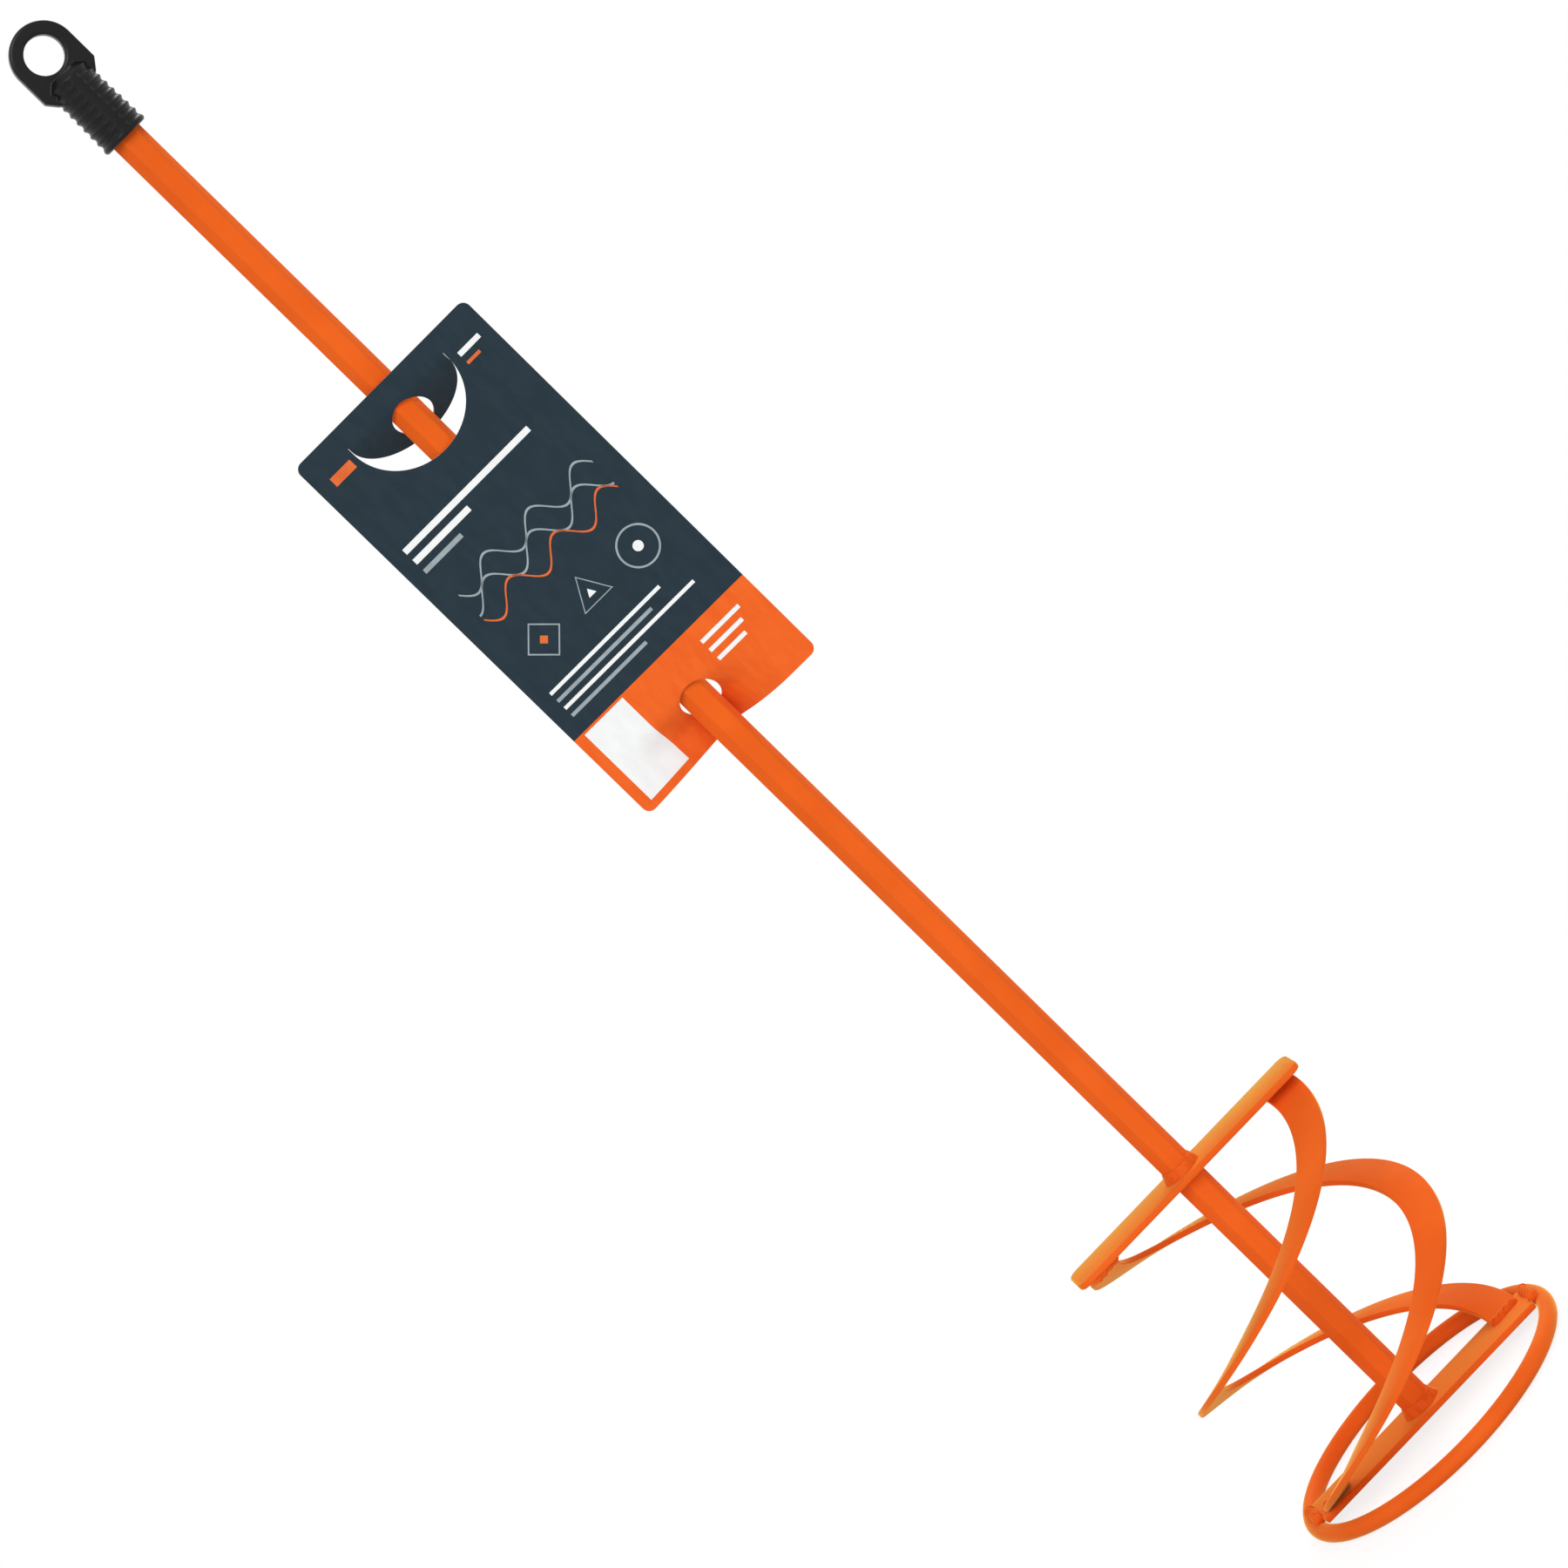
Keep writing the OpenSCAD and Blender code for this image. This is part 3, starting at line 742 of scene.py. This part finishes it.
def eye_outline(part):
    """Draws the edge of the eye: a round top, straight sides, and lower corners cut back to the sleeve."""
    right = part.verts.new((EYE_RADIUS, EYE_HEIGHT, 0))
    bmesh.ops.spin(part, geom=[right], cent=(0, EYE_HEIGHT, 0), axis=Z_AXIS, angle=math.pi, steps=EYE_STEPS)
    left = min(part.verts, key=lambda vert: vert.co.x)
    side_foot = EYE_SHOULDER + EYE_CUT
    shoulders = [
        (-EYE_RADIUS, side_foot),
        (-SLEEVE_TOP, EYE_SHOULDER),
        (SLEEVE_TOP, EYE_SHOULDER),
        (EYE_RADIUS, side_foot),
    ]
    path = [part.verts.new((x, y, 0)) for x, y in shoulders]
    for pair in zip([left] + path, path + [right]):
        part.edges.new(pair)


def eye(bm):
    """Adds the hanging eye: drawn flat, given its thickness, rolled at its edges and stood up."""
    part = bmesh.new()
    eye_outline(part)
    hole = bmesh.ops.create_circle(part, segments=EYE_HOLE_STEPS, radius=EYE_HOLE)["verts"]
    bmesh.ops.translate(part, vec=Y_AXIS * EYE_HEIGHT, verts=hole)
    bmesh.ops.triangle_fill(part, use_beauty=True, edges=part.edges[:], normal=Z_AXIS)
    raise_face(part, EYE_THICKNESS)
    round_edges(part, sharp_edges(part), EYE_EDGE, EYE_EDGE_STEPS)
    stand = Matrix.Rotation(QUARTER_TURN, 4, "X") @ Matrix.Translation((0, 0, -EYE_THICKNESS / 2))
    bmesh.ops.transform(part, matrix=stand, verts=part.verts)
    mesh = outward_mesh(part, "eye")
    bm.from_mesh(mesh)
    bpy.data.meshes.remove(mesh)


def hanging_cap():
    """One soft moulding: the sleeve and the eye, fused with soft inner corners."""
    bm = bmesh.new()
    sleeve(bm)
    bmesh.ops.recalc_face_normals(bm, faces=bm.faces)
    eye(bm)
    parts = plain_mesh(bm, "cap_parts")
    fused = modified(parts, "REMESH", mode="VOXEL", voxel_size=CAP_VOXEL, adaptivity=0)
    soft = modified(fused, "SMOOTH", factor=CAP_SMOOTHING_SHARE, iterations=CAP_SMOOTHING)
    turn = Matrix.Rotation(SHAFT_TURN, 4, "Z")
    soft.transform(Matrix.Translation((0, 0, cap_low.z)) @ turn)
    settle(soft, "cap_moulding", "cap", [rubber], ["hanging_cap"], CAP_SHARP)


hanging_cap()


# Display card, drawn flat with X across, Z up and its front towards -Y


def arc_points(x, z, half_width, half_height, first, last, steps):
    """Points along an upright ellipse, between two angles in degrees."""
    angles = [math.radians(first + (last - first) * i / steps) for i in range(steps + 1)]
    return [(x + half_width * math.cos(a), z + half_height * math.sin(a)) for a in angles]


def ellipse_points(z, half_width, half_height):
    """A whole ellipse on the card's middle line, without its first point again at the end."""
    return arc_points(0, z, half_width, half_height, 0, 360, ELLIPSE_STEPS)[:-1]


def draw(bm, points):
    """Draws a closed outline on the card's plane."""
    verts = [bm.verts.new((x, 0, z)) for x, z in points]
    for pair in zip(verts, verts[1:] + verts[:1]):
        bm.edges.new(pair)


def rounded_outline(left, right, bottom, top, corner):
    """The points of a rectangle with round corners."""
    centres = [
        (right - corner, top - corner),
        (left + corner, top - corner),
        (left + corner, bottom + corner),
        (right - corner, bottom + corner),
    ]
    points = []
    for quarter, (x, z) in enumerate(centres):
        points += arc_points(x, z, corner, corner, 90 * quarter, 90 * quarter + 90, ARC_STEPS)
    return points


def tab_side(half, length, top):
    """The edge around the tab, from its left top down its round end to its right top."""
    round_end = arc_points(0, FOLD_HEIGHT - TAB_SIDES, half, length - TAB_SIDES, 180, 360, TAB_STEPS)
    return [(-half, top)] + round_end + [(half, top)]


def card_outlines(bm, fold_top):
    """Draws the edge of the card, the cut around its tab and its two holes."""
    draw(bm, rounded_outline(-CARD_WIDTH / 2, CARD_WIDTH / 2, 0, CARD_HEIGHT, CARD_CORNER))
    outside = tab_side(TAB_HALF, TAB_LENGTH, fold_top)
    inside = tab_side(TAB_HALF - TAB_CUT, TAB_LENGTH - TAB_CUT, fold_top)
    draw(bm, outside + inside[::-1])
    draw(bm, ellipse_points(FOLD_HEIGHT - TAB_HOLE_DOWN, HOLE_HALF, TAB_HOLE_HALF))
    draw(bm, ellipse_points(LOW_HOLE_HEIGHT, HOLE_HALF, LOW_HOLE_HALF))


def slice_faces(bm, wanted, place, across):
    """Splits the faces that a test picks along a plane, so that they can bend there."""
    faces = [f for f in bm.faces if wanted(f.calc_center_median())]
    edges = {e for f in faces for e in f.edges}
    verts = {v for f in faces for v in f.verts}
    bmesh.ops.bisect_plane(bm, geom=[*verts, *edges, *faces], plane_co=place, plane_no=across)


def bow(x, z):
    """How far the foot of the card is pushed back around the shaft."""
    reach, curve = (BOW_LEFT, BOW_LEFT_CURVE) if x < 0 else (BOW_RIGHT, BOW_RIGHT_CURVE)
    sideways = max(0, min(1, (reach - abs(x)) / (reach - BOW_FLAT))) ** curve
    hole_bottom = LOW_HOLE_HEIGHT - LOW_HOLE_HALF
    upwards = fade((z - hole_bottom) / (2 * LOW_HOLE_HALF)) + BOW_TILT * max(0, 1 - z / hole_bottom)
    return BOW_DEPTH * sideways * upwards


def slice_foot(bm):
    """Slices the foot of a flat card drawing finely enough to bow."""
    foot_top = LOW_HOLE_HEIGHT + LOW_HOLE_HALF
    slice_faces(bm, lambda middle: True, Z_AXIS * foot_top, Z_AXIS)
    rows = int(foot_top / BOW_SLICE)
    columns = int(BOW_LEFT / BOW_SLICE)
    for i in range(1, rows):
        slice_faces(bm, lambda middle: middle.z < foot_top, Z_AXIS * i * foot_top / rows, Z_AXIS)
    for i in range(-columns, columns + 1):
        slice_faces(bm, lambda middle: middle.z < foot_top, X_AXIS * i * BOW_LEFT / columns, X_AXIS)


def on_tab(middle, fold_top):
    """Whether a point lies on the tab: below its fold, and inside the cut around its round end."""
    half = TAB_HALF - TAB_CUT / 2
    reach = TAB_LENGTH - TAB_SIDES - TAB_CUT / 2
    below = max(0, FOLD_HEIGHT - TAB_SIDES - middle.z)
    return middle.z < fold_top and (middle.x / half) ** 2 + (below / reach) ** 2 < 1


def fold_tab(bm, fold_top):
    """Folds the tab back along its top edge."""
    radius = FOLD_LENGTH / TAB_FOLD
    for i in range(1, FOLD_SLICES + 1):
        height = fold_top - FOLD_LENGTH * i / FOLD_SLICES
        slice_faces(bm, lambda middle: on_tab(middle, fold_top), Z_AXIS * height, Z_AXIS)
    for vert in {v for f in bm.faces if on_tab(f.calc_center_median(), fold_top) for v in f.verts}:
        down = fold_top - vert.co.z
        bent = min(down, FOLD_LENGTH) / radius
        straight = max(0, down - FOLD_LENGTH)
        vert.co.y = radius * (1 - math.cos(bent)) + straight * math.sin(bent)
        vert.co.z = fold_top - radius * math.sin(bent) - straight * math.cos(bent)


def hang_card(mesh):
    """Carries a mesh that was drawn at the card's origin to its place on the shaft."""
    stand = Matrix.Translation((CARD_SHIFT, -CARD_FACE, card_low.z))
    mesh.transform(Matrix.Rotation(CARD_TURN, 4, "Z") @ stand)
    return mesh


def face_front(bm):
    """Turns every face of a flat drawing towards the front."""
    bm.normal_update()
    bmesh.ops.reverse_faces(bm, faces=[f for f in bm.faces if f.normal.y > 0])


def card_sheet():
    """The card, cut, folded and bowed around the shaft."""
    fold_top = FOLD_HEIGHT + FOLD_LENGTH / TAB_FOLD * math.tan(TAB_FOLD / 2)
    front = [slate_print, orange_print]
    back = [card_back, card_back]
    rim = [card_edge, card_edge]
    bm = bmesh.new()
    card_outlines(bm, fold_top)
    bmesh.ops.triangle_fill(bm, use_beauty=True, edges=bm.edges[:], normal=-Y_AXIS)
    slice_faces(bm, lambda middle: True, Z_AXIS * BAND_TOP, Z_AXIS)
    slice_faces(bm, lambda middle: True, Z_AXIS * fold_top, Z_AXIS)
    slice_foot(bm)
    face_front(bm)
    for face in bm.faces:
        look = orange_print if face.calc_center_median().z < BAND_TOP else slate_print
        face.material_index = front.index(look)
    for vert in bm.verts:
        vert.co.y = bow(vert.co.x, vert.co.z)
    fold_tab(bm, fold_top)
    bmesh.ops.remove_doubles(bm, verts=bm.verts, dist=SLIVER)
    mesh = plain_mesh(bm, "card_sheet")
    for look in front + back + rim:
        mesh.materials.append(look)
    thick = modified(mesh, "SOLIDIFY", thickness=CARD_THICKNESS, offset=-1, use_even_offset=True,
                     material_offset=len(front), material_offset_rim=len(front + back))
    settle(hang_card(thick), "card_sheet", "card", [], ["display_card"], CARD_SHARP)


def patch(bm, verts, x, z, look):
    """Sets a shape that was drawn at the origin in its place on the card, in its ink."""
    stand = Matrix.Translation((x, 0, z)) @ Matrix.Rotation(QUARTER_TURN, 4, "X")
    bmesh.ops.transform(bm, matrix=stand, verts=verts)
    for face in {f for v in verts for f in v.link_faces}:
        face.material_index = look


def bar_mark(bm, left, bottom, width, height, look):
    """A plain rectangle of ink."""
    verts = bmesh.ops.create_grid(bm, x_segments=1, y_segments=1, size=0.5)["verts"]
    bmesh.ops.scale(bm, vec=(width, height, 1), verts=verts)
    patch(bm, verts, left + width / 2, bottom + height / 2, look)


def line_marks(bm, left, first, pitch, widths, stroke, looks):
    """A block of bars one below the other, in inks that take turns."""
    for i, width in enumerate(widths):
        bar_mark(bm, left, first - pitch * i, width, stroke, looks[i % len(looks)])


def ring_mark(bm, x, z, radius, stroke, sides, look):
    """An outline of a regular shape: a ring where it has many sides."""
    outer = bmesh.ops.create_circle(bm, segments=sides, radius=radius)["verts"]
    inner = bmesh.ops.create_circle(bm, segments=sides, radius=radius - stroke)["verts"]
    edges = list({e for v in outer + inner for e in v.link_edges})
    bmesh.ops.bridge_loops(bm, edges=edges)
    patch(bm, outer + inner, x, z, look)


def dot_mark(bm, x, z, radius, sides, look):
    """A filled regular shape: a round dot where it has many sides."""
    verts = bmesh.ops.create_circle(bm, cap_ends=True, segments=sides, radius=radius)["verts"]
    patch(bm, verts, x, z, look)


def wave_mark(bm, z, shift, look):
    """A wavy stroke across the card."""
    verts = bmesh.ops.create_grid(bm, x_segments=WAVE_STEPS, y_segments=1, size=0.5)["verts"]
    bmesh.ops.scale(bm, vec=(2 * WAVE_HALF, WAVE_STROKE, 1), verts=verts)
    for vert in verts:
        vert.co.y += WAVE_RISE * math.sin(FULL_TURN * (vert.co.x + shift) / WAVE_LENGTH)
    patch(bm, verts, 0, z, look)


def card_print():
    """A plain design in the card's colours: bars, waves and simple outlines."""
    white, grey, orange = 0, 1, 2
    bm = bmesh.new()
    bar_mark(bm, PRINT_LEFT, 129 * MM, 8 * MM, 3 * MM, orange)
    bar_mark(bm, CORNER_LEFT, 130 * MM, 8 * MM, 1.6 * MM, white)
    bar_mark(bm, CORNER_LEFT, 127 * MM, 5 * MM, 1 * MM, orange)
    bar_mark(bm, PRINT_LEFT, 101.5 * MM, 50 * MM, 1.9 * MM, white)
    bar_mark(bm, PRINT_LEFT, 97.5 * MM, 22 * MM, 1.9 * MM, white)
    bar_mark(bm, PRINT_LEFT, 93.8 * MM, 15 * MM, 1.5 * MM, grey)
    wave_mark(bm, 83 * MM, 0, grey)
    wave_mark(bm, 78 * MM, WAVE_SHIFT, grey)
    wave_mark(bm, 73 * MM, 0, orange)
    for i, sides in enumerate(SHAPE_SIDES):
        x = (i - 1) * SHAPE_SPACING
        ring_mark(bm, x, SHAPE_HEIGHT, SHAPE_RADIUS, SHAPE_STROKE, sides, grey)
        dot_mark(bm, x, SHAPE_HEIGHT, SHAPE_DOT, sides, white if i else orange)
    line_marks(bm, PRINT_LEFT, LINE_FIRST, LINE_PITCH, LINE_WIDTHS, LINE_STROKE, (white, grey))
    bar_mark(bm, PANEL_LEFT, PANEL_BOTTOM, PANEL_WIDTH, PANEL_HEIGHT, white)
    line_marks(bm, BAND_LINE_LEFT, BAND_LINE_FIRST, BAND_LINE_PITCH, BAND_LINE_WIDTHS, BAND_LINE_STROKE,
               (white,))
    slice_foot(bm)
    face_front(bm)
    for vert in bm.verts:
        vert.co.y = bow(vert.co.x, vert.co.z) - INK
    thick = modified(plain_mesh(bm, "card_print"), "SOLIDIFY", thickness=INK, offset=-1)
    settle(hang_card(thick), "card_print", "card", [white_ink, grey_ink, orange_ink])


card_sheet()
card_print()


# Studio


def seen_rays(nodes, links):
    """1 for rays that show the background: from the camera, in gloss and through glass."""
    path = nodes.new("ShaderNodeLightPath")
    total = path.outputs["Is Camera Ray"]
    for kind in ("Is Glossy Ray", "Is Transmission Ray"):
        either = nodes.new("ShaderNodeMath")
        either.operation = "MAXIMUM"
        links.new(total, either.inputs[0])
        links.new(path.outputs[kind], either.inputs[1])
        total = either.outputs["Value"]
    return total


def blend(nodes, links, share, first, second):
    """The first shader where the share is 0, and the second where it is 1."""
    mix = nodes.new("ShaderNodeMixShader")
    links.new(share, mix.inputs["Fac"])
    links.new(first, mix.inputs[1])
    links.new(second, mix.inputs[2])
    return mix.outputs["Shader"]


def white_world():
    """A white surround that lights the object softly."""
    world = bpy.data.worlds.new("studio")
    bpy.context.scene.world = world
    world.use_nodes = True
    nodes, links = world.node_tree.nodes, world.node_tree.links
    light = nodes["Background"]
    light.inputs["Color"].default_value = WHITE
    light.inputs["Strength"].default_value = WORLD_LIGHT
    shown = nodes.new("ShaderNodeBackground")
    shown.inputs["Color"].default_value = WHITE
    seen = seen_rays(nodes, links)
    surface = blend(nodes, links, seen, light.outputs["Background"], shown.outputs["Background"])
    links.new(surface, nodes["World Output"].inputs["Surface"])


def matt(nodes, tone):
    """A plain matt grey, from 0 for black to 1 for white."""
    made = nodes.new("ShaderNodeBsdfDiffuse")
    made.inputs["Color"].default_value = (tone, tone, tone, 1)
    return made.outputs["BSDF"]


def shaded_floor(nodes, links):
    """Floor that glows nearly white, so that only a soft shadow shows on it."""
    glow = nodes.new("ShaderNodeEmission")
    glow.inputs["Strength"].default_value = FLOOR_GLOW
    total = nodes.new("ShaderNodeAddShader")
    links.new(matt(nodes, SHADOW_TONE), total.inputs[0])
    links.new(glow.outputs["Emission"], total.inputs[1])
    return total.outputs["Shader"]


def away_from_foot(nodes, links):
    """Rises from 0 at the object's foot to 1 further out on the floor."""
    place = nodes.new("ShaderNodeTexCoord")
    reach = nodes.new("ShaderNodeVectorMath")
    reach.operation = "LENGTH"
    links.new(place.outputs["Object"], reach.inputs[0])
    away = nodes.new("ShaderNodeMapRange")
    away.inputs["From Min"].default_value = SHADOW_NEAR
    away.inputs["From Max"].default_value = SHADOW_FAR
    links.new(reach.outputs["Value"], away.inputs["Value"])
    return away.outputs["Result"]


def floor_finish():
    """A pale floor that shows white, with the object's soft shadow near its foot."""
    made = bpy.data.materials.new("pale_floor")
    made.use_nodes = True
    nodes, links = made.node_tree.nodes, made.node_tree.links
    nodes.remove(nodes["Principled BSDF"])
    white = nodes.new("ShaderNodeEmission").outputs["Emission"]
    shown = blend(nodes, links, away_from_foot(nodes, links), shaded_floor(nodes, links), white)
    surface = blend(nodes, links, seen_rays(nodes, links), matt(nodes, FLOOR_TONE), shown)
    links.new(surface, nodes["Material Output"].inputs["Surface"])
    return made


def pale_floor():
    """The floor, which belongs to the stage and not to the object."""
    bm = bmesh.new()
    bmesh.ops.create_grid(bm, x_segments=1, y_segments=1, size=FLOOR_HALF)
    mesh = plain_mesh(bm, "floor")
    mesh.materials.append(floor_finish())
    made = in_scene("floor", mesh)


def soft_sun(name, place, strength):
    """A broad light that shines evenly over the whole object, from the given direction."""
    light = bpy.data.lights.new(name, "SUN")
    light.angle = SUN_SPREAD
    light.energy = strength
    made = in_scene(name, light)
    made.location = place
    made.rotation_euler = (-Vector(place)).to_track_quat("-Z", "Y").to_euler()


def photograph_camera():
    """A long lens from a little above, rolled so that the shaft runs down to the right."""
    lens = bpy.data.cameras.new("camera")
    lens.lens = LENS
    lens.sensor_width = SENSOR
    made = in_scene("camera", lens)
    stand = Matrix.Translation((CAMERA_ASIDE, -CAMERA_DISTANCE, CAMERA_HEIGHT))
    look = Matrix.Rotation(QUARTER_TURN - CAMERA_PITCH, 4, "X") @ Matrix.Rotation(CAMERA_ROLL, 4, "Z")
    made.matrix_world = Matrix.Rotation(CAMERA_TURN, 4, "Z") @ stand @ look
    bpy.context.scene.camera = made


white_world()
pale_floor()
soft_sun("key", KEY_FROM, KEY_STRENGTH)
soft_sun("rear", REAR_FROM, REAR_STRENGTH)
photograph_camera()
bpy.context.scene.view_settings.view_transform = "Standard"
